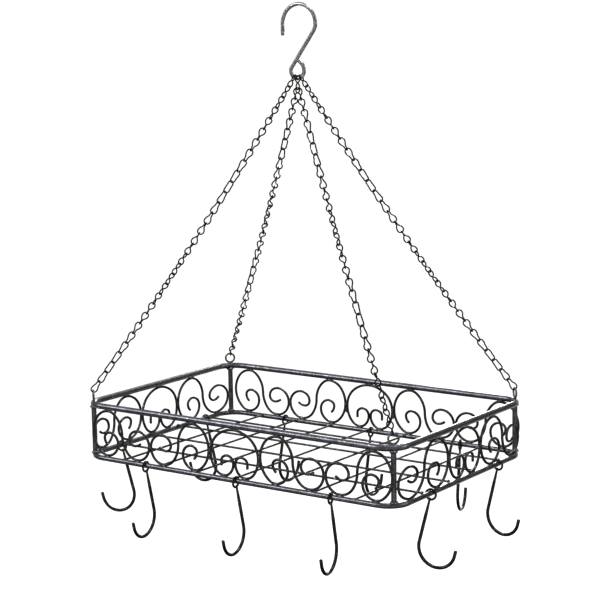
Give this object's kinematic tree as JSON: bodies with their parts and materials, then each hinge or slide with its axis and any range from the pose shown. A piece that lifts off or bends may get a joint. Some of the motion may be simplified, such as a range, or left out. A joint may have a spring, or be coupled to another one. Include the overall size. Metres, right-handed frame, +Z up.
{
  "type": "hanging pot rack",
  "caption": "Rectangular wire basket rack with scrolled sides and a wire floor, hung by chains from an open top hook, with loose pot hooks that swing on its lower rail.",
  "frame": {"origin": "inside of the top hook's bend, at its highest point, where it bears on a ceiling hook", "axes": "+X along the basket's long side to the right, +Y to the back, +Z up"},
  "size_m": [0.6719, 0.4627, 0.8342],
  "materials": {
    "iron": "satin",
    "chain": "satin"
  },
  "bodies": {
    "top_hook": {"top_hook": "iron"},
    "basket": {"shared_link": "chain", "chain_front_left": "chain", "chain_front_right": "chain", "chain_back_left": "chain", "chain_back_right": "chain", "ring_front_left": "iron", "ring_front_right": "iron", "ring_back_left": "iron", "ring_back_right": "iron", "top_rail": "iron", "bottom_rail": "iron", "post_front_left": "iron", "post_front_right": "iron", "post_back_left": "iron", "post_back_right": "iron", "scroll_front_1": "iron", "scroll_front_2": "iron", "scroll_front_3": "iron", "scroll_front_4": "iron", "scroll_front_5": "iron", "scroll_back_1": "iron", "scroll_back_2": "iron", "scroll_back_3": "iron", "scroll_back_4": "iron", "scroll_back_5": "iron", "scroll_right_1": "iron", "scroll_right_2": "iron", "scroll_right_3": "iron", "scroll_left_1": "iron", "scroll_left_2": "iron", "scroll_left_3": "iron", "floor_cross_wires": "iron", "floor_long_wires": "iron"},
    "pot_hook_front_left": {"pot_hook_front_left": "iron"},
    "pot_hook_front_middle": {"pot_hook_front_middle": "iron"},
    "pot_hook_front_right": {"pot_hook_front_right": "iron"},
    "pot_hook_back_left": {"pot_hook_back_left": "iron"},
    "pot_hook_back_middle": {"pot_hook_back_middle": "iron"},
    "pot_hook_back_right": {"pot_hook_back_right": "iron"},
    "pot_hook_left_front": {"pot_hook_left_front": "iron"},
    "pot_hook_left_back": {"pot_hook_left_back": "iron"},
    "pot_hook_right_front": {"pot_hook_right_front": "iron"},
    "pot_hook_right_back": {"pot_hook_right_back": "iron"}
  },
  "joints": [
    {"name": "basket_swing", "type": "hinge", "parent": "top_hook", "child": "basket", "pos_m": [-0.004, 0, -0.1104], "axis": [1, 0, 0], "range_deg": [-15, 15]},
    {"name": "hook_front_left_swing", "type": "hinge", "parent": "basket", "child": "pot_hook_front_left", "pos_m": [-0.17563, -0.1904, -0.71274], "axis": [-1, 0, 0], "range_deg": [-65, 70]},
    {"name": "hook_front_middle_swing", "type": "hinge", "parent": "basket", "child": "pot_hook_front_middle", "pos_m": [0.003, -0.1904, -0.71274], "axis": [-1, 0, 0], "range_deg": [-65, 70]},
    {"name": "hook_front_right_swing", "type": "hinge", "parent": "basket", "child": "pot_hook_front_right", "pos_m": [0.17763, -0.1904, -0.71274], "axis": [-1, 0, 0], "range_deg": [-65, 70]},
    {"name": "hook_back_left_swing", "type": "hinge", "parent": "basket", "child": "pot_hook_back_left", "pos_m": [-0.17763, 0.1904, -0.71274], "axis": [1, 0, 0], "range_deg": [-65, 70]},
    {"name": "hook_back_middle_swing", "type": "hinge", "parent": "basket", "child": "pot_hook_back_middle", "pos_m": [0.001, 0.1904, -0.71274], "axis": [1, 0, 0], "range_deg": [-65, 70]},
    {"name": "hook_back_right_swing", "type": "hinge", "parent": "basket", "child": "pot_hook_back_right", "pos_m": [0.17563, 0.1904, -0.71274], "axis": [1, 0, 0], "range_deg": [-65, 70]},
    {"name": "hook_left_front_swing", "type": "hinge", "parent": "basket", "child": "pot_hook_left_front", "pos_m": [-0.299, -0.10525, -0.71274], "axis": [0, 1, 0], "range_deg": [-65, 70]},
    {"name": "hook_left_back_swing", "type": "hinge", "parent": "basket", "child": "pot_hook_left_back", "pos_m": [-0.299, 0.12025, -0.71274], "axis": [0, 1, 0], "range_deg": [-65, 70]},
    {"name": "hook_right_front_swing", "type": "hinge", "parent": "basket", "child": "pot_hook_right_front", "pos_m": [0.291, -0.09425, -0.71274], "axis": [0, -1, 0], "range_deg": [-65, 70]},
    {"name": "hook_right_back_swing", "type": "hinge", "parent": "basket", "child": "pot_hook_right_back", "pos_m": [0.291, 0.10925, -0.71274], "axis": [0, -1, 0], "range_deg": [-65, 70]}
  ]
}
